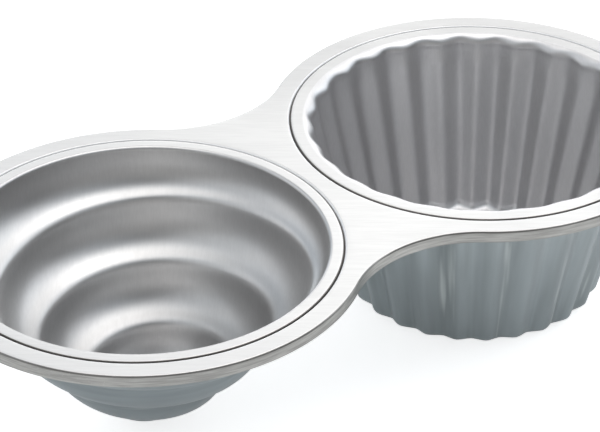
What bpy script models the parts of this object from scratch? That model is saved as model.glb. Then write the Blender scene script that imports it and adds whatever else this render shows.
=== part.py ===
# Two-cup cake mould: a swirled icing cup and a fluted cake cup, set into one steel frame.
# Metres, +Z up. The pan stands on z = 0, and x runs from the swirl cup to the fluted cup.
import math

import bmesh
import bpy
import numpy as np

# Sheet and fits
sheet = 0.0008             # one gauge of steel for all three pieces
gap = 0.0003               # between pieces that seat on each other
seam_gap = 0.0004          # groove between a cup's flange and the frame's hole

# Frame
pan_height = 0.0825        # table to the top of the frame
cup_spacing = 0.175        # centre to centre
rim_margin = 0.0097        # flat of the frame outside a cup's flange
waist_radius = 0.054       # inward round between the two lobes of the outline
skirt_height = 0.0053      # turned-down edge of the frame
edge_bend = 0.0009         # bend between the flat and the skirt
ledge_width = 0.0034       # ledge in each hole, which carries the cup's flange

# Flange of both cups
flange_radius = 0.0825

# Fluted cup
flute_count = 26
flute_depth = 0.0028       # outward crest to inward crest
flute_sharpness = 0.9      # 0 gives a sine wave, 1 a zigzag
flute_turn = -4            # azimuth of an inward crest, degrees
flute_onset = 0.8          # share of the depth half way down the mouth's round
fluted_flange_width = 0.0098    # flange's edge to mouth
fluted_mouth_round = 0.0044
floor_radius = 0.0500      # flat of the floor
floor_round = 0.0055       # round between wall and floor

# Swirl cup
swirl_flange_width = 0.0061
swirl_mouth_round = 0.0015
swirl_turns = 4            # turns of the ridge from the mouth to the tip
swirl_start = 144          # azimuth where the ridge leaves the mouth, degrees
swirl_draw_in = 0.87       # power that draws the ridge in: 1 is an even spiral
swirl_fall = 1.12          # power that lets it fall: over 1 falls faster near the mouth
tier_roundness = 2.1       # 2 is a quarter ellipse, less is flatter
ridge_round = 0.0034       # half width of the round over the ridge, along the wall
tip_radius = 0.0030        # small flat at the tip
tip_lift = 0.0002          # the tip clears the table by this much, so the floor carries the pan

# Joining of points and shading
weld_distance = 0.0002     # corners nearer than this are one
mirror_weld = 0.00001
smooth_angle = 40          # degrees between faces that are shaded as one surface

# Facets
flute_columns = 6          # to a flute; flute_columns is a multiple of flange_columns
flange_columns = 2         # to a flute, on the plain flange outside the flutes
floor_steps = 3
swirl_columns = 48
tier_rows = (0.0, 0.14, 0.30, 0.50, 0.70, 0.86)
arc_columns = 34
fillet_columns = 4
middle_columns = 10

half_spacing = cup_spacing / 2
hole_radius = flange_radius + seam_gap
step_depth = sheet + gap   # each flange lies level with the frame in a hole stepped down by this
fluted_mouth_radius = flange_radius - fluted_flange_width
swirl_mouth_radius = flange_radius - swirl_flange_width
tip_height = sheet + tip_lift
swirl_top = pan_height - swirl_mouth_round
tier_span = math.hypot(swirl_mouth_radius - tip_radius, swirl_top - tip_height) / swirl_turns
frame_radius = flange_radius + rim_margin
waist_centre = math.sqrt((frame_radius + waist_radius) ** 2 - half_spacing ** 2)


def clear_scene():
    for old in list(bpy.data.objects):
        bpy.data.objects.remove(old, do_unlink=True)


def steel(name, colour, roughness):
    material = bpy.data.materials.new(name)
    material.use_nodes = True
    shader = material.node_tree.nodes["Principled BSDF"]
    shader.inputs["Base Color"].default_value = (*colour, 1.0)
    shader.inputs["Roughness"].default_value = roughness
    shader.inputs["Metallic"].default_value = 1.0
    return material


def arc(centre, radius, start, end, steps):
    # (r, z) points on an arc, angles in degrees, both ends included
    angles = np.radians(np.linspace(start, end, steps + 1))
    return [(centre[0] + radius * math.cos(a), centre[1] + radius * math.sin(a)) for a in angles]


def flange_profile(mouth_radius, mouth_round):
    # the upper side of a cup's edge: the flat and the round into the mouth
    mouth_centre = (mouth_radius + mouth_round, pan_height - mouth_round)
    return [(flange_radius, pan_height)] + arc(mouth_centre, mouth_round, 90, 180, 2)


def fill_between(faces, upper, lower):
    # one face to each column of the upper ring, where the lower ring may have finer columns
    finer = len(lower) // len(upper)
    for j in range(len(upper)):
        below = [lower[(j * finer + step) % len(lower)] for step in range(finer, -1, -1)]
        faces.append([upper[j], upper[(j + 1) % len(upper)]] + below)


def add_sheet_piece(name, vertices, faces, material, mirrored=False):
    # the upper or inner side is modelled, and the sheet's thickness goes away from it
    mesh = bpy.data.meshes.new(name)
    mesh.from_pydata([tuple(v) for v in vertices], [], faces)
    tidy = bmesh.new()
    tidy.from_mesh(mesh)
    bmesh.ops.remove_doubles(tidy, verts=tidy.verts, dist=weld_distance)
    loose = [v for v in tidy.verts if not v.link_faces]
    bmesh.ops.delete(tidy, geom=loose, context="VERTS")
    tidy.to_mesh(mesh)
    tidy.free()
    mesh.materials.append(material)
    piece = bpy.data.objects.new(name, mesh)
    bpy.context.scene.collection.objects.link(piece)
    if mirrored:
        mirror = piece.modifiers.new("other half", "MIRROR")
        mirror.merge_threshold = mirror_weld
    wall = piece.modifiers.new("sheet", "SOLIDIFY")
    wall.thickness = sheet
    wall.offset = -1
    wall.use_even_offset = True
    mesh.shade_smooth()
    mesh.set_sharp_from_angle(angle=math.radians(smooth_angle))
    return piece


def frame_outline():
    # columns of the half round the swirl cup, anticlockwise from the waist: each is a function of
    # the inset from the outline, and the last ones lie on the middle line between the cups
    tangent = math.degrees(math.atan2(waist_centre, half_spacing))
    columns = []

    def round_column(centre, radius, sign, angle):
        a = math.radians(angle)
        return lambda inset: (centre[0] + (radius + sign * inset) * math.cos(a),
                              centre[1] + (radius + sign * inset) * math.sin(a))

    for angle in np.linspace(270, 180 + tangent, fillet_columns + 1):
        columns.append(round_column((0, waist_centre), waist_radius, 1, angle))
    for angle in np.linspace(tangent, 360 - tangent, arc_columns + 1)[1:]:
        columns.append(round_column((-half_spacing, 0), frame_radius, -1, angle))
    for angle in np.linspace(180 - tangent, 90, fillet_columns + 1)[1:]:
        columns.append(round_column((0, -waist_centre), waist_radius, 1, angle))
    outline_count = len(columns)
    waist = waist_centre - waist_radius
    for share in np.linspace(-1, 1, middle_columns + 1)[1:-1]:
        columns.append(lambda inset, share=share: (0.0, share * (waist - inset)))
    return columns, outline_count


def make_frame(material):
    columns, outline_count = frame_outline()
    step = pan_height - step_depth
    hole_profile = ([(hole_radius - ledge_width, step)]
                    + arc((hole_radius + step_depth, step), step_depth, 180, 90, 2))
    vertices = []
    faces = []
    rings = []
    for r, z in reversed(hole_profile):
        ring = []
        for column in columns:
            x, y = column(0.0)
            a = math.atan2(y, x + half_spacing)
            ring.append(len(vertices))
            vertices.append((r * math.cos(a) - half_spacing, r * math.sin(a), z))
        rings.append(ring)
    flat = []
    for column in columns:
        flat.append(len(vertices))
        vertices.append((*column(edge_bend), pan_height))
    for upper, lower in zip([flat] + rings, rings):
        fill_between(faces, upper, lower)
    skirt_profile = arc((edge_bend, pan_height - edge_bend), edge_bend, 90, 180, 2)[1:]
    skirt_profile.append((0.0, pan_height - skirt_height))
    inner = flat[:outline_count]
    for inset, z in skirt_profile:
        outer = []
        for column in columns[:outline_count]:
            outer.append(len(vertices))
            vertices.append((*column(inset), z))
        for j in range(outline_count - 1):
            faces.append([outer[j], outer[j + 1], inner[j + 1], inner[j]])
        inner = outer
    return add_sheet_piece("frame", vertices, faces, material, mirrored=True)


def ridge(turn):
    # radius and height of the swirl's ridge after so many turns: it draws in and falls to the tip
    left = 1 - min(max(turn / swirl_turns, 0.0), 1.0)
    radius = tip_radius + (swirl_mouth_radius - tip_radius) * left ** swirl_draw_in
    height = tip_height + (swirl_top - tip_height) * left ** swirl_fall
    return radius, height


def swirl_section(turn, place):
    # a point of the section whose first ridge is at this turn; place counts tiers down from the
    # mouth, and each tier drops steeply from one ridge and rounds in level to the next
    place = min(max(place, 0.0), swirl_turns + 1.0)
    tier = min(int(place), swirl_turns)
    angle = (place - tier) * math.pi / 2
    above = ridge(turn + tier - 1)
    below = ridge(turn + tier)
    power = 2 / tier_roundness
    r = below[0] + (above[0] - below[0]) * max(math.cos(angle), 0.0) ** power
    z = above[1] + (below[1] - above[1]) * math.sin(angle) ** power
    return r, z


def soft_swirl_section(turn, place):
    # the same, with its ridges rounded: the mean of three places close together
    reach = ridge_round / tier_span
    near = [swirl_section(turn, place + step * reach) for step in (-1, 0, 1)]
    return [sum(values) / len(near) for values in zip(*near)]


def make_swirl_cup(material):
    vertices = []
    faces = []
    azimuths = [math.radians(swirl_start) + math.tau * j / swirl_columns for j in range(swirl_columns)]

    def add_vertex(r, z, a):
        vertices.append((r * math.cos(a) - half_spacing, r * math.sin(a), z))
        return len(vertices) - 1

    rings = [[add_vertex(r, z, a) for a in azimuths]
             for r, z in flange_profile(swirl_mouth_radius, swirl_mouth_round)]
    for upper, lower in zip(rings, rings[1:]):
        fill_between(faces, upper, lower)

    # Rows run on round the cup, so after a full turn each row meets the one a tier below
    places = [tier + share for tier in range(swirl_turns + 1) for share in tier_rows]
    places.append(swirl_turns + 1.0)
    per_tier = len(tier_rows)
    last = len(places) - 1
    grid = []
    for j, a in enumerate(azimuths):
        turn = j / swirl_columns
        column = [rings[-1][j]]
        for place in places[1:-1]:
            column.append(add_vertex(*soft_swirl_section(turn, place), a))
        column.append(add_vertex(tip_radius, tip_height, a))
        grid.append(column)
    for row in range(1, per_tier):
        grid[0][row] = grid[0][0]
    grid[0][per_tier] = grid[0][0]
    for row in range(last):
        for j in range(swirl_columns):
            if j + 1 < swirl_columns:
                following = (grid[j + 1][row], grid[j + 1][row + 1])
            else:
                following = (grid[0][min(row + per_tier, last)], grid[0][min(row + 1 + per_tier, last)])
            corners = [grid[j][row], following[0], following[1], grid[j][row + 1]]
            kept = list(dict.fromkeys(corners))
            if len(kept) > 2:
                faces.append(kept)
    faces.append([column[last] for column in grid])
    return add_sheet_piece("swirl_cup", vertices, faces, material)


def flute_wave(azimuth):
    # a rounded zigzag from -1 to 1, with an inward crest at azimuth 0
    swing = flute_sharpness * -math.cos(flute_count * azimuth)
    return math.asin(swing) / math.asin(flute_sharpness)


def make_fluted_cup(material):
    # the wall is the straight line from the mouth's round that just touches the floor's round
    centre = (floor_radius, sheet + floor_round)
    rise = pan_height - fluted_mouth_round - centre[1]
    run = fluted_mouth_radius - centre[0]
    touch = math.degrees(math.atan2(rise, run) - math.acos(floor_round / math.hypot(rise, run)))
    floor_arc = arc(centre, floor_round, touch, -90, floor_steps)
    edge = flange_profile(fluted_mouth_radius, fluted_mouth_round)
    profile = edge + floor_arc
    plain = len(edge) - 2
    shares = [0.0] * plain + [flute_onset, 1.0]
    shares += [math.cos(math.pi / 2 * step / floor_steps) for step in range(floor_steps + 1)]
    vertices = []
    faces = []
    rings = []
    for row, ((r, z), share) in enumerate(zip(profile, shares)):
        ring = []
        count = flute_count * (flute_columns if row >= plain - 1 else flange_columns)
        for j in range(count):
            a = math.tau * j / count
            reach = r + share * flute_depth / 2 * flute_wave(a)
            turned = a + math.radians(flute_turn)
            ring.append(len(vertices))
            vertices.append((half_spacing + reach * math.cos(turned), reach * math.sin(turned), z))
        rings.append(ring)
    for upper, lower in zip(rings, rings[1:]):
        fill_between(faces, upper, lower)
    faces.append(rings[-1])
    return add_sheet_piece("fluted_cup", vertices, faces, material)


clear_scene()
make_frame(steel("frame steel", (0.78, 0.78, 0.79), 0.30))
make_swirl_cup(steel("swirl cup steel", (0.70, 0.70, 0.72), 0.28))
make_fluted_cup(steel("fluted cup steel", (0.60, 0.61, 0.62), 0.36))
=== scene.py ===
# Steel pan for one giant cupcake: a swirled cup and a fluted cup in one waisted frame.
# Metres, +Z up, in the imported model's own frame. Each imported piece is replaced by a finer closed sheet.
from math import atan2, degrees, hypot, radians, sqrt, tau

import bmesh
import bpy
import numpy as np
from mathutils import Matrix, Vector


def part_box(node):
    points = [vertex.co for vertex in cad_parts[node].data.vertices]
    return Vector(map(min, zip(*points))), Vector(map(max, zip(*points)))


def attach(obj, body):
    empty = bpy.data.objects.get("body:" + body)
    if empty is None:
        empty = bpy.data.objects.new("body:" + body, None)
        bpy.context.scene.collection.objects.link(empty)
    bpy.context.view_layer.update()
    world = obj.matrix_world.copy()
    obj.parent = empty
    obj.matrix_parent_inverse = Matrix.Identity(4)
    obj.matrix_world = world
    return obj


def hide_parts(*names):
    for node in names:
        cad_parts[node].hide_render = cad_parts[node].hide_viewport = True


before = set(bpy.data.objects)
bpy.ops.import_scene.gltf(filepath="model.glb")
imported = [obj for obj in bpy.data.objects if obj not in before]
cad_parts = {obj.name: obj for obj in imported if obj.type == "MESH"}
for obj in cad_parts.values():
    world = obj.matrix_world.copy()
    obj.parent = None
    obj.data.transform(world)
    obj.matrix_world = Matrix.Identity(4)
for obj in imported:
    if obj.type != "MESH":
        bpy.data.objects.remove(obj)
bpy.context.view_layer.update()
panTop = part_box("frame")[1].z
swirlCentre = (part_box("swirl_cup")[0].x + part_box("swirl_cup")[1].x) / 2
flutedCentre = (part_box("fluted_cup")[0].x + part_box("fluted_cup")[1].x) / 2
sheet = 0.0008             # gauge of all three pieces
nearlyZero = 1e-12         # lengths and areas below this have no direction
print("frame loaded, pan top at", round(panTop, 4))


# Camera

shot = {
    "place": (-0.6007, -0.8324, 0.7235),
    "heading": 35.43,      # degrees clockwise from +Y
    "dip": 32.73,          # degrees below level
    "lens": 171.0,         # mm
    "sensor": 36.0,        # mm, its width
    "farthest": 20.0,      # metres that the camera sees
}


def makeCamera():
    # a pinhole at its place, turned by its heading and tipped down by its dip
    lens = bpy.data.cameras.new("camera")
    lens.lens = shot["lens"]
    lens.sensor_width = shot["sensor"]
    lens.clip_end = shot["farthest"]
    camera = bpy.data.objects.new("camera", lens)
    bpy.context.scene.collection.objects.link(camera)
    camera.location = shot["place"]
    camera.rotation_euler = (radians(90 - shot["dip"]), 0, -radians(shot["heading"]))
    bpy.context.scene.camera = camera


makeCamera()
print("camera placed")


# Surfaces

def arcPoints(centre, radius, startAngle, endAngle, count):
    # points round a circle: centre plus radius times (cosine, sine), angles in degrees
    angle = np.radians(np.linspace(startAngle, endAngle, count))
    return np.stack(
        [centre[0] + radius * np.cos(angle), centre[1] + radius * np.sin(angle)], axis=-1)


def linePoints(start, end, count):
    # points from start to end at an even pitch, without either end
    share = np.linspace(0, 1, count + 2)[1:-1, None]
    return np.array(start) * (1 - share) + np.array(end) * share


def easeIn(share):
    # smooth step: 0 below 0, 1 above 1, and 3 s squared minus 2 s cubed between
    s = np.clip(share, 0, 1)
    return s * s * (3 - 2 * s)


def roundTheAxis(radius, height, angle, centre):
    # polar to world: x is centre plus radius times cosine, y is radius times sine
    return np.stack(np.broadcast_arrays(
        centre + radius * np.cos(angle), radius * np.sin(angle), height), axis=-1)


def sheetNormals(down, across):
    # unit vectors square to both tangents: their cross product over its length
    normal = np.cross(down, across)
    return normal / np.linalg.norm(normal, axis=-1, keepdims=True).clip(nearlyZero)


def gridFaces(rows, columns, closeRows=False):
    # quads of a grid whose columns run on round to the first one
    row = np.arange(rows if closeRows else rows - 1)[:, None]
    column = np.arange(columns)[None, :]
    below = (row + 1) % rows
    beside = (column + 1) % columns
    corners = [row * columns + column, row * columns + beside,
               below * columns + beside, below * columns + column]
    return np.stack(np.broadcast_arrays(*corners), axis=-1).reshape(-1, 4)


def makePiece(name, points, faces, materials, materialIndex, weld=0.00002):
    # one closed mesh from a grid's points and faces: turned outwards, and welded where points meet
    mesh = bpy.data.meshes.new(name)
    corners = [list(dict.fromkeys(face[::-1])) for face in faces]      # a corner named twice is dropped
    mesh.from_pydata(points.reshape(-1, 3).tolist(), [], corners)
    for material in materials:
        mesh.materials.append(material)
    mesh.polygons.foreach_set("material_index", materialIndex.astype(np.int32))
    welded = bmesh.new()
    welded.from_mesh(mesh)
    bmesh.ops.remove_doubles(welded, verts=welded.verts, dist=weld)
    bmesh.ops.dissolve_degenerate(welded, edges=welded.edges, dist=weld / 4)
    welded.to_mesh(mesh)
    welded.free()
    mesh.shade_smooth()
    piece = bpy.data.objects.new(name, mesh)
    bpy.context.scene.collection.objects.link(piece)
    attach(piece, "root")
    return piece


# Materials

def addNode(tree, kind, **inputs):
    # a node with its inputs set by name, from values or from other sockets
    node = tree.nodes.new(kind)
    for name, value in inputs.items():
        socket = node.inputs[int(name[1:])] if name[0] == "_" else node.inputs[name]
        if isinstance(value, bpy.types.NodeSocket):
            tree.links.new(value, socket)
        else:
            socket.default_value = value
    return node


def addMath(tree, operation, first, second=0.5, third=0.5):
    # a math node on two or three values; a multiply-add gives first times second plus third
    node = addNode(tree, "ShaderNodeMath", _0=first, _1=second, _2=third)
    node.operation = operation
    return node.outputs[0]


def addVectorMath(tree, operation, first, second):
    # a vector math node on two vectors
    node = addNode(tree, "ShaderNodeVectorMath", _0=first, _1=second)
    node.operation = operation
    return node.outputs["Vector"]


def addRange(tree, value, low, high, toLow=0.0, toHigh=1.0):
    # value taken from low..high to toLow..toHigh, clamped, along a smooth step
    node = addNode(tree, "ShaderNodeMapRange", Value=value)
    node.interpolation_type = "SMOOTHSTEP"
    for name, number in (("From Min", low), ("From Max", high), ("To Min", toLow), ("To Max", toHigh)):
        node.inputs[name].default_value = number
    return node.outputs["Result"]


def addMix(tree, share, first, second):
    # a colour that goes from the first to the second with the share
    node = tree.nodes.new("ShaderNodeMix")
    node.data_type = "RGBA"
    for socket, value in ((node.inputs[0], share), (node.inputs[6], first), (node.inputs[7], second)):
        if isinstance(value, bpy.types.NodeSocket):
            tree.links.new(value, socket)
        else:
            socket.default_value = value
    return node.outputs[2]


def newGroup(name, inputs, outputs):
    # an empty node group with its sockets, given as pairs of name and kind
    tree = bpy.data.node_groups.new(name, "ShaderNodeTree")
    for socket, kind in inputs:
        tree.interface.new_socket(socket, in_out="INPUT", socket_type=kind)
    for socket, kind in outputs:
        tree.interface.new_socket(socket, in_out="OUTPUT", socket_type=kind)
    return tree, tree.nodes.new("NodeGroupInput").outputs, tree.nodes.new("NodeGroupOutput").inputs


wearAndHighlights = {
    "fineShare": 0.66,         # of the grain; the rest is broad lines
    "broadScale": 0.27,        # of the broad lines, against the fine ones
    "stripeSpan": (0.35, 0.65),
    # grain lines that carry the painted highlight streaks
    "highlightStreakSpan": (0.58, 0.70),
    "patchSpan": (0.36, 0.64),
    # two directions of scratches as (turn in radians, stretch along X, Y and Z)
    "scratches": [(0.5, (25, 900, 200)), (-0.9, (30, 1100, 200))],
    "scratchSpan": (0.66, 0.74),
    "scuffScale": 28.0,
    "scuffSpan": (0.48, 0.62),
}
vectorSocket, numberSocket = "NodeSocketVector", "NodeSocketFloat"


def addGrain(tree, place, stretch, result):
    # lines are noise squeezed across the grain, fine and broad; stripes are the same, steepened
    squeezed = addVectorMath(tree, "MULTIPLY", place, stretch)
    fine = addNode(tree, "ShaderNodeTexNoise", Vector=squeezed, Scale=1.0, Detail=2.0)
    broad = addNode(tree, "ShaderNodeTexNoise", Vector=squeezed, Scale=wearAndHighlights["broadScale"], Detail=1.0)
    rest = addMath(tree, "MULTIPLY", broad.outputs[0], 1 - wearAndHighlights["fineShare"])
    lines = addMath(tree, "MULTIPLY_ADD", fine.outputs[0], wearAndHighlights["fineShare"], rest)
    tree.links.new(lines, result["Lines"])
    tree.links.new(addRange(tree, lines, *wearAndHighlights["stripeSpan"]), result["Stripe"])


def makeGrainGroup():
    # brushed grain: the place turned about Z, then squeezed
    tree, given, result = newGroup(
        "brushed grain",
        [("Place", vectorSocket), ("Turn", numberSocket), ("Stretch", vectorSocket)],
        [("Lines", numberSocket), ("Stripe", numberSocket)])
    turned = addNode(tree, "ShaderNodeVectorRotate", Vector=given["Place"], Angle=given["Turn"])
    turned.rotation_type = "Z_AXIS"
    addGrain(tree, turned.outputs[0], given["Stretch"], result)
    return tree


def makeRoundGrainGroup():
    # grain on a cup, unrolled: arc length round its axis at a mean radius, and height
    tree, given, result = newGroup(
        "grain round a cup",
        [("Place", vectorSocket), ("Centre", numberSocket), ("Radius", numberSocket), ("Stretch", vectorSocket)],
        [("Lines", numberSocket), ("Stripe", numberSocket)])
    away = addNode(tree, "ShaderNodeSeparateXYZ", Vector=given["Place"]).outputs
    azimuth = addMath(tree, "ARCTAN2", away["Y"], addMath(tree, "SUBTRACT", away["X"], given["Centre"]))
    arc = addMath(tree, "MULTIPLY", azimuth, given["Radius"])
    unrolled = addNode(tree, "ShaderNodeCombineXYZ", X=arc, Z=away["Z"]).outputs[0]
    addGrain(tree, unrolled, given["Stretch"], result)
    return tree


def makeHighlightStreakGroup():
    # painted highlight streaks: the highest of the grain's lines, times a strength
    tree, given, result = newGroup(
        "painted highlight streaks", [("Lines", numberSocket), ("Strength", numberSocket)], [("Streak", numberSocket)])
    peaks = addRange(tree, given["Lines"], *wearAndHighlights["highlightStreakSpan"])
    tree.links.new(addMath(tree, "MULTIPLY", peaks, given["Strength"]), result["Streak"])
    return tree


def makePatchGroup():
    # soft patches of wear: two octaves of noise, steepened to run from 0 to 1
    tree, given, result = newGroup(
        "worn patches", [("Place", vectorSocket), ("Scale", numberSocket)], [("Patch", numberSocket)])
    cloud = addNode(tree, "ShaderNodeTexNoise", Vector=given["Place"], Scale=given["Scale"], Detail=2.0)
    tree.links.new(addRange(tree, cloud.outputs[0], *wearAndHighlights["patchSpan"]), result["Patch"])
    return tree


def makeScuffGroup():
    # sparse scratches: the peaks of long thin noise in two directions, within some patches only
    tree, given, result = newGroup(
        "scuffs", [("Place", vectorSocket), ("Strength", numberSocket)], [("Scuff", numberSocket)])
    total = 0.0
    for turn, stretch in wearAndHighlights["scratches"]:
        turned = addNode(tree, "ShaderNodeVectorRotate", Vector=given["Place"], Angle=turn)
        turned.rotation_type = "Z_AXIS"
        squeezed = addVectorMath(tree, "MULTIPLY", turned.outputs[0], stretch)
        long = addNode(tree, "ShaderNodeTexNoise", Vector=squeezed)
        total = addMath(tree, "MAXIMUM", addRange(tree, long.outputs[0], *wearAndHighlights["scratchSpan"]), total)
    cloud = addNode(tree, "ShaderNodeTexNoise", Vector=given["Place"], Scale=wearAndHighlights["scuffScale"], Detail=1.0)
    within = addMath(tree, "MULTIPLY", total, addRange(tree, cloud.outputs[0], *wearAndHighlights["scuffSpan"]))
    tree.links.new(addMath(tree, "MULTIPLY", within, given["Strength"]), result["Scuff"])
    return tree


grainGroup, roundGrainGroup, highlightStreakGroup = makeGrainGroup(), makeRoundGrainGroup(), makeHighlightStreakGroup()
patchGroup, scuffGroup = makePatchGroup(), makeScuffGroup()


def addGroup(tree, group, **inputs):
    # a node group with its inputs set by name, from values or from other sockets
    node = tree.nodes.new("ShaderNodeGroup")
    node.node_tree = group
    for name, value in inputs.items():
        if isinstance(value, bpy.types.NodeSocket):
            tree.links.new(value, node.inputs[name])
        else:
            node.inputs[name].default_value = value
    return node.outputs


plateLook = {
    "name": "brushed plate", "colour": (0.74, 0.735, 0.725), "worn": (0.70, 0.695, 0.69), "metal": 1.0,
    "roughness": 0.38,
    "grainRoughness": 0.10,    # added over the range of the lines
    "patchRoughness": 0.05,    # added in worn patches
    "patchScale": 14.0,
    "grainTurn": 0.62,         # radians
    "grainStretch": (80, 1500, 80),
    "grainTone": 0.055,        # how dark the stripes are
    "bump": 0.00004,           # metres
    "scuffs": 0.25,            # strength
    "scuffTone": (0.75, 0.75, 0.74),
    "scuffRoughness": -0.15,
    "farEdgeShade": 0.22,              # painted shade: how much darker the plate is towards its far edge
    "farEdgeShadeWay": (0.58, 0.815, 0),
    "farEdgeShadeSpan": (-0.06, 0.16),     # metres along that way
}
bowlLook = {
    **plateLook, "name": "satin silver", "colour": (0.62, 0.615, 0.61), "worn": (0.585, 0.58, 0.58),
    "roughness": 0.37, "grainTurn": -0.95, "grainStretch": (320, 1700, 320), "grainTone": 0.04,
    "bump": 0.000018, "farEdgeShade": 0.0,
    "sunk": 0.18,              # how much darker the lowest tiers are
    "sunkSpan": (panTop - 0.03, 0.01),
    "sunkTone": (0.1, 0.1, 0.11),
}
deepLook = {
    **bowlLook, "name": "satin grey", "colour": (0.685, 0.68, 0.685), "worn": (0.645, 0.64, 0.645),
    "sunk": 0.0,
}
# The skirt is bent from the plate's own sheet: its darker, warmer colour is painted shade with a painted warm
# reflection; its stripes are brushed grain
skirtLook = {
    **plateLook, "name": "brushed skirt", "colour": (0.50, 0.495, 0.475), "worn": (0.42, 0.415, 0.40),
    "roughness": 0.34, "grainStretch": (90, 90, 1900), "grainTone": 0.38, "bump": 0.00008, "farEdgeShade": 0.0,
    "bendShade": 0.42,          # painted shade: how dark the line of shade along the bend is
    "bendShadeSpan": (panTop - 0.0010, panTop - 0.0005),
    "bendShadeTone": (0.08, 0.07, 0.065),
}
# painted highlight: the round of the hole's step is brighter and less metallic than the plate, for a bright line
# at the seam
stepHighlightLook = {
    **plateLook, "name": "step with painted highlight", "colour": (0.93, 0.93, 0.93), "worn": (0.88, 0.88, 0.88),
    "metal": 0.35, "roughness": 0.4, "farEdgeShade": 0.0,
}
# painted shade: a dark brown sheet where the gap round each flange lies in shadow, on the frame's ledge and the
# end of each cup's edge
seamShadeLook = {
    **deepLook, "name": "painted seam shade", "colour": (0.20, 0.185, 0.175), "worn": (0.13, 0.12, 0.11),
    "metal": 0.5, "roughness": 0.55, "scuffs": 0.0,
}
flutedCoatLook = {
    **deepLook, "name": "fluted coat", "colour": (0.445, 0.50, 0.515), "worn": (0.37, 0.415, 0.43),
    "metal": 0.35, "roughness": 0.30, "grainStretch": (170, 0, 14), "grainTone": 0.24,
    "bump": 0.00001, "scuffs": 0.0,
    "shine": 0.5,              # strength of the painted highlight streaks
    "shineTone": (0.90, 0.96, 0.94),
    "centre": flutedCentre,    # the grain runs down the cup round this axis
    "meanRadius": 0.065,
}
swirlCoatLook = {
    **flutedCoatLook, "name": "swirled coat", "colour": (0.335, 0.375, 0.39), "worn": (0.29, 0.33, 0.345),
    "grainStretch": (18, 0, 260), "grainTone": 0.16, "centre": swirlCentre,
}


def steel(look):
    # colour: base, worn in patches, striped by the grain and scuffed; roughness and bump follow the masks
    material = bpy.data.materials.new(look["name"])
    material.use_nodes = True
    tree = material.node_tree
    shader = tree.nodes["Principled BSDF"]
    place = addNode(tree, "ShaderNodeTexCoord").outputs["Object"]
    height = addNode(tree, "ShaderNodeSeparateXYZ", Vector=place).outputs["Z"]
    if "centre" in look:
        grain = addGroup(tree, roundGrainGroup, Place=place, Centre=look["centre"],
                         Radius=look["meanRadius"], Stretch=look["grainStretch"])
    else:
        grain = addGroup(tree, grainGroup, Place=place, Turn=look["grainTurn"], Stretch=look["grainStretch"])
    lines = grain["Lines"]
    patch = addGroup(tree, patchGroup, Place=place, Scale=look["patchScale"])["Patch"]
    darker = (*[value / 2 for value in look["colour"]], 1)

    colour = addMix(tree, patch, (*look["colour"], 1), (*look["worn"], 1))
    stripe = addMath(tree, "MULTIPLY", grain["Stripe"], look["grainTone"] * 2)
    colour = addMix(tree, stripe, colour, darker)
    # painted highlight: pale streaks along the highest grain lines, standing in for reflections on the coat
    if "shine" in look:
        highlightStreak = addGroup(tree, highlightStreakGroup, Lines=lines, Strength=look["shine"])["Streak"]
        colour = addMix(tree, highlightStreak, colour, (*look["shineTone"], 1))
    # painted shade: the colour darkens towards the plate's far edge
    if look["farEdgeShade"]:
        along = addNode(tree, "ShaderNodeVectorMath", _0=place, _1=look["farEdgeShadeWay"])
        along.operation = "DOT_PRODUCT"
        farEdgeShade = addRange(tree, along.outputs["Value"], *look["farEdgeShadeSpan"], 0.0, look["farEdgeShade"] * 2)
        colour = addMix(tree, farEdgeShade, colour, darker)
    if look.get("sunk"):
        sunk = addRange(tree, height, *look["sunkSpan"], 0.0, look["sunk"])
        colour = addMix(tree, sunk, colour, (*look["sunkTone"], 1))
    # painted shade: a dark line along the skirt's bend
    if "bendShade" in look:
        bend = addRange(tree, height, *look["bendShadeSpan"], 0.0, look["bendShade"])
        colour = addMix(tree, bend, colour, (*look["bendShadeTone"], 1))

    leastRough = look["roughness"] - look["grainRoughness"] / 2
    rough = addMath(tree, "MULTIPLY_ADD", lines, look["grainRoughness"], leastRough)
    rough = addMath(tree, "MULTIPLY_ADD", patch, look["patchRoughness"], rough)
    if look["scuffs"]:
        scuff = addGroup(tree, scuffGroup, Place=place, Strength=look["scuffs"])["Scuff"]
        colour = addMix(tree, scuff, colour, (*look["scuffTone"], 1))
        rough = addMath(tree, "MULTIPLY_ADD", scuff, look["scuffRoughness"], rough)
    tree.links.new(colour, shader.inputs["Base Color"])
    tree.links.new(rough, shader.inputs["Roughness"])
    shader.inputs["Metallic"].default_value = look["metal"]

    bump = addNode(tree, "ShaderNodeBump", Height=lines, Strength=1.0, Distance=look["bump"])
    tree.links.new(bump.outputs["Normal"], shader.inputs["Normal"])
    return material


plateSteel, bowlSteel, deepSteel, skirtSteel, stepHighlightSteel, seamShadeSteel, flutedCoat, swirlCoat = (
    steel(look) for look in (
        plateLook, bowlLook, deepLook, skirtLook, stepHighlightLook, seamShadeLook, flutedCoatLook, swirlCoatLook))
print("materials made")


# Frame

panFrame = {
    "flangeRadius": 0.0825,    # of both cups
    "seamGap": 0.0004,         # round each flange
    "seatGap": 0.0003,         # under each flange
    "rimMargin": 0.0097,       # flat outside a cup's flange
    "waistRadius": 0.054,      # inward round between the lobes
    "skirtHeight": 0.0053,
    "edgeBend": 0.0009,
    "ledgeWidth": 0.0034,
    "lobeColumns": 150,
    "waistColumns": 26,
    "middleColumns": 18,
    "flatRows": 6,
    "bendPoints": 9,           # over the skirt's bend
    "innerBendPoints": 4,      # under each bend
    "skirtPoints": 4,
    "footPoints": 9,           # round the skirt's foot
    "cornerPoints": 6,         # under the hole's step
    "ledgePoints": 3,
    "lipPoints": 7,            # round the ledge's end
    "stepPoints": 12,          # round the hole's step
    "plateRows": 3,            # the last of these, which look like the plate
}


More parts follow.
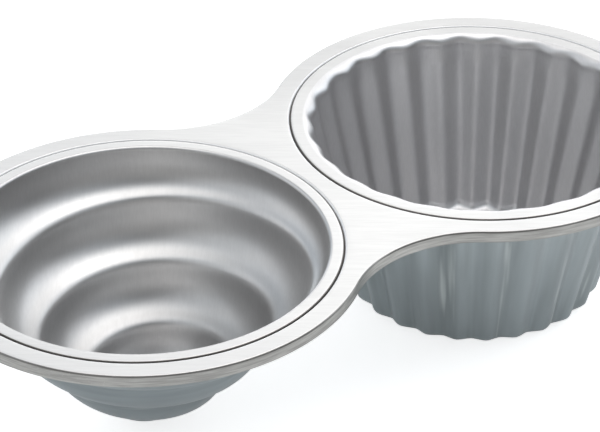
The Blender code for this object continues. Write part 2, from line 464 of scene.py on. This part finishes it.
def outlineColumns():
    # half round the swirl cup: circle centres, radii, the sense of the inset and angles, column by column
    half = -swirlCentre
    lobe = panFrame["flangeRadius"] + panFrame["rimMargin"]
    waist = panFrame["waistRadius"]
    lift = sqrt((lobe + waist) ** 2 - half ** 2)       # height of the waist's centre over the axis
    meet = degrees(atan2(lift, half))
    waistCount, lobeCount = panFrame["waistColumns"], panFrame["lobeColumns"]
    low = np.linspace(270, 180 + meet, waistCount + 1)
    middle = np.linspace(meet, 360 - meet, lobeCount + 1)[1:]
    high = np.linspace(180 - meet, 90, waistCount + 1)[1:]
    angle = np.radians(np.concatenate([low, middle, high]))
    counts = [len(low), len(middle), len(high)]
    x = np.repeat([0.0, -half, 0.0], counts)
    y = np.repeat([lift, 0.0, -lift], counts)
    radius = np.repeat([waist, lobe, waist], counts)
    sense = np.repeat([1.0, -1.0, 1.0], counts)
    return x, y, radius, sense, angle, lift - waist


def makeFrame():
    # half the frame as one grid that closes on itself: round the hole's section, over the flat, round the
    # outline's section and back under the flat, column by column round the swirl cup; then its mirror image
    x, y, radius, sense, angle, halfWaist = outlineColumns()
    skirtEnd = panTop - panFrame["skirtHeight"]
    bend = panFrame["edgeBend"]
    hole = panFrame["flangeRadius"] + panFrame["seamGap"]
    drop = sheet + panFrame["seatGap"]                 # each flange lies level in a hole stepped down by this
    ledge = hole - panFrame["ledgeWidth"]
    bendPoints, skirtPoints = panFrame["bendPoints"], panFrame["skirtPoints"]
    footPoints = panFrame["footPoints"]
    ledgePoints, stepPoints = panFrame["ledgePoints"], panFrame["stepPoints"]

    # Section at the outline as (inset, height): over the skirt's bend, round its foot and back up inside
    outer = np.concatenate([
        arcPoints((bend, panTop - bend), bend, 90, 180, bendPoints),
        linePoints((0, panTop - bend), (0, skirtEnd + sheet / 2), skirtPoints),
        arcPoints((sheet / 2, skirtEnd + sheet / 2), sheet / 2, 180, 360, footPoints),
        linePoints((sheet, skirtEnd + sheet / 2), (sheet, panTop - bend), skirtPoints),
        arcPoints((bend, panTop - bend), bend - sheet, 180, 90, panFrame["innerBendPoints"]),
    ])
    # Section at the hole as (radius, height): under the bend, round the ledge and back up
    step = panTop - drop
    inner = np.concatenate([
        arcPoints((hole + drop, step), drop - sheet, 90, 180, panFrame["innerBendPoints"]),
        arcPoints((hole, step), sheet, 360, 270, panFrame["cornerPoints"]),
        linePoints((hole, step - sheet), (ledge, step - sheet), ledgePoints),
        arcPoints((ledge, step - sheet / 2), sheet / 2, 270, 90, panFrame["lipPoints"]),
        linePoints((ledge, step), (hole, step), ledgePoints),
        arcPoints((hole + drop, step), drop, 180, 90, stepPoints),
    ])

    inset, height = outer[:, 0, None], outer[:, 1, None]
    reach = radius + sense * inset
    outlineGrid = np.stack(np.broadcast_arrays(
        x + reach * np.cos(angle), y + reach * np.sin(angle), height), axis=-1)
    # on the middle line the section is flat: half its rows lie in the top and half in the underside
    share = np.linspace(-1, 1, panFrame["middleColumns"] + 2)[1:-1]
    level = np.where(np.arange(len(outer))[:, None] < len(outer) // 2, height[0], height[-1])
    middleGrid = np.stack(np.broadcast_arrays(0.0, share * (halfWaist - bend), level), axis=-1)
    outerGrid = np.concatenate([outlineGrid, middleGrid], axis=1)

    azimuth = np.arctan2(outerGrid[0, :, 1], outerGrid[0, :, 0] - swirlCentre)
    innerGrid = roundTheAxis(inner[:, 0, None], inner[:, 1, None], azimuth, swirlCentre)
    across = np.linspace(0, 1, panFrame["flatRows"] + 2)[1:-1, None, None]
    topFlat = innerGrid[-1] * (1 - across) + outerGrid[0] * across
    underFlat = outerGrid[-1] * (1 - across) + innerGrid[0] * across
    grid = np.concatenate([innerGrid, topFlat, outerGrid, underFlat])

    # The faces on the middle line are left out, and the mirrored half is welded on there
    points = grid.reshape(-1, 3)
    faces = gridFaces(grid.shape[0], grid.shape[1], closeRows=True)
    onMiddle = np.abs(points[:, 0]) < 1e-7
    faces = faces[~np.all(onMiddle[faces], axis=1)]
    mirrored = faces[:, ::-1] + len(points)
    allPoints = np.concatenate([points, points * (-1, 1, 1)])
    allFaces = np.concatenate([faces, mirrored]).tolist()
    # the skirt's look starts a quarter of the way round the bend and ends in the middle of the foot's round;
    # the seam is the ledge's upper side, in painted shade, and the step is the round over it, up to the plate,
    # with a painted highlight
    row = np.tile(faces[:, 0] // grid.shape[1], 2)
    bendRow = len(innerGrid) + len(topFlat)
    skirtStart = bendRow + bendPoints // 4
    skirtStop = bendRow + bendPoints + skirtPoints + footPoints // 2 + 1
    stepRow = len(innerGrid) - stepPoints
    isSkirt = (row >= skirtStart) & (row < skirtStop)
    isSeam = (row >= stepRow - ledgePoints - 1) & (row < stepRow)
    isStep = (row >= stepRow) & (row < len(innerGrid) - panFrame["plateRows"])
    piece = makePiece("frame_sheet", allPoints, allFaces, [plateSteel, skirtSteel, seamShadeSteel, stepHighlightSteel],
                      isSkirt + 2 * isSeam + 3 * isStep)
    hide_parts("frame")


makeFrame()
print("frame made")


# Edge of both cups

cupEdge = {
    "radius": panFrame["flangeRadius"],
    "edgeReach": 0.0010,       # how far in the edge is rounded off
    "flatRows": 5,
    "edgeRows": 9,
    "mouthPoints": 15,         # round the mouth
}


def edgeProfile(mouthRadius, mouthRound):
    # upper side as (radius, height): the flat, then the quarter round into the mouth
    rim = (cupEdge["radius"] - cupEdge["edgeReach"], panTop)
    mouthCentre = (mouthRadius + mouthRound, panTop - mouthRound)
    return np.concatenate([
        [rim],
        linePoints(rim, (mouthRadius + mouthRound, panTop), cupEdge["flatRows"]),
        arcPoints(mouthCentre, mouthRound, 90, 180, cupEdge["mouthPoints"]),
    ])


def closeSheet(upper, normal):
    # rows of the upper side from the middle out to the rim, a half-elliptic edge, then the lower side back
    lower = upper - normal * sheet
    turn = np.radians(np.linspace(0, 180, cupEdge["edgeRows"] + 2))[1:-1, None, None]
    middle = (upper[0] + lower[0]) / 2
    along = upper[0] - upper[1]
    along = along / np.linalg.norm(along, axis=-1, keepdims=True)
    foot = middle + np.cos(turn) * normal[0] * sheet / 2 + np.sin(turn) * along * cupEdge["edgeReach"]
    return np.concatenate([upper[::-1], foot, lower])


def sheetParts(rows, upperRows):
    # material of each row: 0 inside, 1 on the flat flange and over its edge, 2 under the edge, in painted shade,
    # 3 outside
    row = np.arange(rows)
    starts = (upperRows - cupEdge["flatRows"] - 2, upperRows + 1, upperRows + cupEdge["edgeRows"])
    return sum((row >= start).astype(int) for start in starts)


# Fluted cup

flutedCup = {
    "mouthRadius": 0.0727,
    "mouthRound": 0.0044,
    "floorRadius": 0.0500,
    "floorRound": 0.0055,
    "flutes": 26,
    "fluteTurn": -4,           # azimuth of an inward crest, degrees
    "fluteDepth": 0.0028,
    "fluteSharpness": 0.9,     # on the wall; 0 is a sine wave, 1 a zigzag
    "rimSharpness": 0.4,       # at the rim
    "rimDepth": 0.6,           # share of the depth at the top of the wall
    "onset": 1.2,              # power that lets the flutes start in the mouth's round
    "deepening": 0.009,        # height of wall over which the flutes reach their depth
    "sharpenLead": 8,          # rows above the wall where they start to sharpen
    "sharpenRows": 14,
    "columnsPerFlute": 12,
    "wallRows": 44,
    "cornerPoints": 15,        # round the floor's edge
    "floorRings": 10,
}


def fluteWave(angle, sharpness):
    # a rounded zigzag from -1 to 1: the arcsine of a cosine, with an inward crest at azimuth 0
    return np.arcsin(-sharpness * np.cos(flutedCup["flutes"] * angle)) / np.arcsin(sharpness)


def makeFlutedCup():
    # radius at each point of the profile: its own, plus the wave times half the depth there
    mouth, mouthRound = flutedCup["mouthRadius"], flutedCup["mouthRound"]
    floor, floorRound = flutedCup["floorRadius"], flutedCup["floorRound"]
    edge = edgeProfile(mouth, mouthRound)
    centre = (floor, sheet + floorRound)
    rise = panTop - mouthRound - centre[1]
    run = mouth - centre[0]
    touch = degrees(atan2(rise, run) - np.arccos(floorRound / hypot(rise, run)))
    corner = arcPoints(centre, floorRound, touch, -90, flutedCup["cornerPoints"])
    profile = np.concatenate([
        edge,
        linePoints(edge[-1], corner[0], flutedCup["wallRows"]),
        corner,
        linePoints((floor, sheet), (0.0, sheet), flutedCup["floorRings"]),
        [(0.0, sheet)],
    ])
    point = np.arange(len(profile))
    mouthStart, wallStart = len(edge) - cupEdge["mouthPoints"], len(edge)
    cornerStart = wallStart + flutedCup["wallRows"]
    slope = np.pi / 2 * np.clip((point - mouthStart) / (cupEdge["mouthPoints"] - 1), 0, 1)
    fallen = panTop - mouthRound - profile[:, 1]
    rimDepth = flutedCup["rimDepth"]
    depth = rimDepth * np.sin(slope) ** flutedCup["onset"]
    depth += (1 - rimDepth) * easeIn(fallen / flutedCup["deepening"])
    fade = np.clip((point[cornerStart:] - cornerStart) / (flutedCup["cornerPoints"] - 1), 0, 1)
    depth[cornerStart:] = np.cos(np.pi / 2 * fade)
    rim = flutedCup["rimSharpness"]
    sharpened = easeIn((point - wallStart + flutedCup["sharpenLead"]) / flutedCup["sharpenRows"])
    sharpness = rim + (flutedCup["fluteSharpness"] - rim) * sharpened
    count = flutedCup["flutes"] * flutedCup["columnsPerFlute"]
    angle = np.linspace(0, tau, count, endpoint=False)
    wave = fluteWave(angle, sharpness[:, None])
    radius = profile[:, :1] + depth[:, None] * flutedCup["fluteDepth"] / 2 * wave
    upper = roundTheAxis(radius, profile[:, 1:], angle + radians(flutedCup["fluteTurn"]), flutedCentre)
    down = np.gradient(upper, axis=0)
    across = np.roll(upper, -1, axis=1) - np.roll(upper, 1, axis=1)
    normal = sheetNormals(across, down)
    normal[-1] = (0, 0, 1)
    grid = closeSheet(upper, normal)
    faces = gridFaces(grid.shape[0], count).tolist()
    parts = np.repeat(sheetParts(grid.shape[0] - 1, len(upper)), count)
    piece = makePiece("fluted_cup_sheet", grid, faces, [deepSteel, plateSteel, seamShadeSteel, flutedCoat], parts)
    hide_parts("fluted_cup")


makeFlutedCup()
print("fluted cup made")


# Swirl cup

swirlCup = {
    "mouthRadius": 0.0764,
    "mouthRound": 0.0015,
    "turns": 4,
    "start": 144,              # azimuth where the ridge leaves the mouth, degrees
    "drawIn": 0.87,            # power that draws the ridge in
    "fall": 1.12,              # power that lets it fall
    "tierRoundness": 2.1,      # 2 is a quarter ellipse
    "ridgeReach": 0.00768,     # half the length of wall over which each ridge is rounded
    "ridgeSteps": 31,          # places in that mean
    "tipRadius": 0.0030,
    "tipLift": 0.0002,
    "tipRings": 4,
    "columns": 192,
    "rowsPerTier": 26,
    "rowDraw": 0.10,           # how much the rows are drawn towards each ridge
    "weld": 0.000003,          # finer than elsewhere, as the rows meet at a point on the mouth
}


def ridgeAt(turn):
    # radius and height of the ridge: what is left of the turns, to a power, draws in and falls to the tip
    left = 1 - np.clip(turn / swirlCup["turns"], 0, 1)
    tipHeight = sheet + swirlCup["tipLift"]
    top = panTop - swirlCup["mouthRound"]
    tipRadius, mouthRadius = swirlCup["tipRadius"], swirlCup["mouthRadius"]
    radius = tipRadius + (mouthRadius - tipRadius) * left ** swirlCup["drawIn"]
    height = tipHeight + (top - tipHeight) * left ** swirlCup["fall"]
    return radius, height


def sharpSection(turn, place):
    # a quarter of a superellipse from each ridge to the one a turn below; place counts tiers from the mouth
    place = np.clip(place, 0, swirlCup["turns"] + 1)
    tier = np.minimum(np.floor(place), swirlCup["turns"])
    angle = (place - tier) * np.pi / 2
    radiusAbove, heightAbove = ridgeAt(turn + tier - 1)
    radiusBelow, heightBelow = ridgeAt(turn + tier)
    power = 2 / swirlCup["tierRoundness"]
    radius = radiusBelow + (radiusAbove - radiusBelow) * np.cos(angle).clip(0) ** power
    height = heightAbove + (heightBelow - heightAbove) * np.sin(angle) ** power
    return radius, height


def swirlPoint(turn, place):
    # the section with its ridges rounded: a mean over places near by, weighted by a raised cosine, which
    # narrows to nothing at the tip
    mouthRadius, top = ridgeAt(0)
    tipRadius, tipHeight = ridgeAt(swirlCup["turns"])
    tierSpan = hypot(mouthRadius - tipRadius, top - tipHeight) / swirlCup["turns"]
    reach = np.minimum(swirlCup["ridgeReach"] / tierSpan, swirlCup["turns"] + 1 - place).clip(0)
    steps = np.linspace(-1, 1, swirlCup["ridgeSteps"] + 2)[1:-1]
    weights = 1 + np.cos(np.pi * steps)
    radius, height = 0, 0
    for step, weight in zip(steps, weights / weights.sum()):
        r, z = sharpSection(turn, place + step * reach)
        radius, height = radius + weight * r, height + weight * z
    angle = radians(swirlCup["start"]) + tau * turn
    return roundTheAxis(radius, height, angle, swirlCentre)


def makeSwirlCup():
    # a grid of turn by place down the wall, which joins itself one tier lower after each turn
    columns, perTier, tiers = swirlCup["columns"], swirlCup["rowsPerTier"], swirlCup["turns"] + 1
    turn = np.linspace(0, 1, columns, endpoint=False)[None, :]
    edge = edgeProfile(swirlCup["mouthRadius"], swirlCup["mouthRound"])
    angle = radians(swirlCup["start"]) + tau * turn
    edgeGrid = roundTheAxis(edge[:, :1], edge[:, 1:], angle, swirlCentre)

    # rows lie closer together near each ridge
    share = np.arange(perTier) / perTier
    share = share - swirlCup["rowDraw"] * np.sin(tau * share)
    place = np.concatenate([tier + share for tier in range(tiers)] + [[tiers]])[:, None]
    tiny = 0.002                                       # of a turn or a tier, for the tangents
    swirlGrid = swirlPoint(turn, place)
    down = swirlPoint(turn, place + tiny) - swirlPoint(turn, place - tiny)
    across = swirlPoint(turn + tiny, place) - swirlPoint(turn - tiny, place)
    swirlNormal = sheetNormals(across, down)
    edgeNormal = sheetNormals(np.roll(edgeGrid, -1, axis=1) - np.roll(edgeGrid, 1, axis=1),
                              np.gradient(edgeGrid, axis=0))
    flat = np.linalg.norm(np.cross(across, down), axis=-1) < nearlyZero
    swirlNormal[flat] = np.broadcast_to(edgeNormal[-1], swirlNormal.shape)[flat]
    swirlNormal[-1] = (0, 0, 1)
    swirlNormal[0] = edgeNormal[-1]
    # the small flat at the tip, in rings that shrink to its middle
    tipRows = swirlCup["tipRings"]
    shrink = np.linspace(1, 0, tipRows + 1)[1:, None, None]
    tipGrid = swirlGrid[-1] * shrink + (swirlCentre, 0, swirlGrid[-1, 0, 2]) * (1 - shrink)
    tipNormal = np.broadcast_to((0.0, 0.0, 1.0), tipGrid.shape)
    upper = np.concatenate([edgeGrid, swirlGrid[1:], tipGrid])
    normal = np.concatenate([edgeNormal, swirlNormal[1:], tipNormal])
    grid = closeSheet(upper, normal)

    # From the last column, each row of the swirl runs on into the row a tier below in the first
    rows, upperRows, edgeRows = len(grid), len(upper), len(edge)
    following = np.arange(rows)
    swirlRows = upperRows - edgeRows - tipRows           # rows below the mouth's last, down to the tip's flat
    sunk = np.minimum(np.arange(1, swirlRows + 1) + perTier, swirlRows)
    innerMouth, outerMouth = tipRows + swirlRows, rows - 1 - tipRows - swirlRows
    following[tipRows:innerMouth] = innerMouth - sunk[::-1]
    following[outerMouth + 1:rows - tipRows] = outerMouth + sunk
    row = np.arange(rows - 1)[:, None]
    column = np.arange(columns)[None, :]
    last = column == columns - 1
    beside = (column + 1) % columns
    besideRow = np.where(last, following[row], row)
    besideBelow = np.where(last, following[row + 1], row + 1)
    corners = [row * columns + column, besideRow * columns + beside,
               besideBelow * columns + beside, (row + 1) * columns + column]
    faces = np.stack(np.broadcast_arrays(*corners), axis=-1).reshape(-1, 4).tolist()
    # under the mouth, the last column's first face takes in the first column's rows of the first tier
    for row in (innerMouth - 1, outerMouth):
        faces[row * columns + columns - 1][2:2] = [
            between * columns for between in range(following[row] + 1, following[row + 1])]
    parts = np.repeat(sheetParts(rows - 1, upperRows), columns)
    piece = makePiece("swirl_cup_sheet", grid, faces, [bowlSteel, plateSteel, seamShadeSteel, swirlCoat], parts,
                      weld=swirlCup["weld"])
    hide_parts("swirl_cup")


makeSwirlCup()
print("swirl cup made")


# Studio

studio = {
    # Soft lights as (degrees clockwise from the camera's heading, degrees above level, reach in degrees,
    # strength, share by which it is cooler than white)
    "lights": [
        (0, 10, 32, 2.1, 0.01), (60, 15, 35, 0.6, 0.12), (-40, 22, 35, 0.4, 0.2), (-60, 20, 35, 0.35, -0.1),
        (-90, 10, 30, 0.5, 0.05), (50, 48, 50, 1.4, 0.01), (30, 75, 35, 0.8, -0.08), (0, 88, 38, 0.6, 0.02),
        (-90, 50, 50, 0.75, 0.05), (110, 62, 40, 0.3, 0.15), (-150, 15, 50, 0.42, 0.0),
        (150, 15, 45, 0.38, 0.0),
    ],
    "floor": 0.92,
    "floorRoughness": 0.9,
    "floorGlow": 0.15,         # lights the outsides of the cups from below
    "cameraGlow": 0.55,        # seen by the camera only, so that the shadow stays pale
    "floorHalf": 4.0,          # metres
}


def makeStudio():
    # brightness of the sky: the sum, over the lights, of a smooth step of the cosine between it and the view
    world = bpy.data.worlds.new("studio")
    bpy.context.scene.world = world
    world.use_nodes = True
    tree = world.node_tree
    direction = addNode(tree, "ShaderNodeTexCoord").outputs["Generated"]
    total = (0, 0, 0)
    for turn, lift, reach, strength, cool in studio["lights"]:
        heading = radians(shot["heading"] + turn)
        rise = radians(lift)
        toward = (np.sin(heading) * np.cos(rise), np.cos(heading) * np.cos(rise), np.sin(rise))
        cosine = addNode(tree, "ShaderNodeVectorMath", _0=direction, _1=toward)
        cosine.operation = "DOT_PRODUCT"
        glow = addRange(tree, cosine.outputs["Value"], np.cos(radians(reach)), 1.0)
        colour = [strength * (1 - cool), strength, strength * (1 + cool)]
        glows = addNode(tree, "ShaderNodeCombineXYZ", X=glow, Y=glow, Z=glow).outputs[0]
        total = addVectorMath(tree, "ADD", total, addVectorMath(tree, "MULTIPLY", glows, colour))
    tree.links.new(total, tree.nodes["Background"].inputs["Color"])

    mesh = bpy.data.meshes.new("floor")
    half = studio["floorHalf"]
    corners = [(-half, -half, 0), (half, -half, 0), (half, half, 0), (-half, half, 0)]
    mesh.from_pydata(corners, [], [(0, 1, 2, 3)])
    floor = bpy.data.objects.new("floor", mesh)
    bpy.context.scene.collection.objects.link(floor)
    material = bpy.data.materials.new("pale floor")
    material.use_nodes = True
    shader = material.node_tree.nodes["Principled BSDF"]
    shader.inputs["Base Color"].default_value = (studio["floor"], studio["floor"], studio["floor"], 1)
    shader.inputs["Roughness"].default_value = studio["floorRoughness"]
    shader.inputs["Specular IOR Level"].default_value = 0.0
    shader.inputs["Emission Color"].default_value = (1, 1, 1, 1)
    tree = material.node_tree
    seen = addNode(tree, "ShaderNodeLightPath").outputs["Is Camera Ray"]
    glow = addMath(tree, "MULTIPLY_ADD", seen, studio["cameraGlow"], studio["floorGlow"])
    tree.links.new(glow, shader.inputs["Emission Strength"])
    mesh.materials.append(material)


makeStudio()
bpy.context.scene.view_settings.view_transform = "Standard"
print("studio lit")
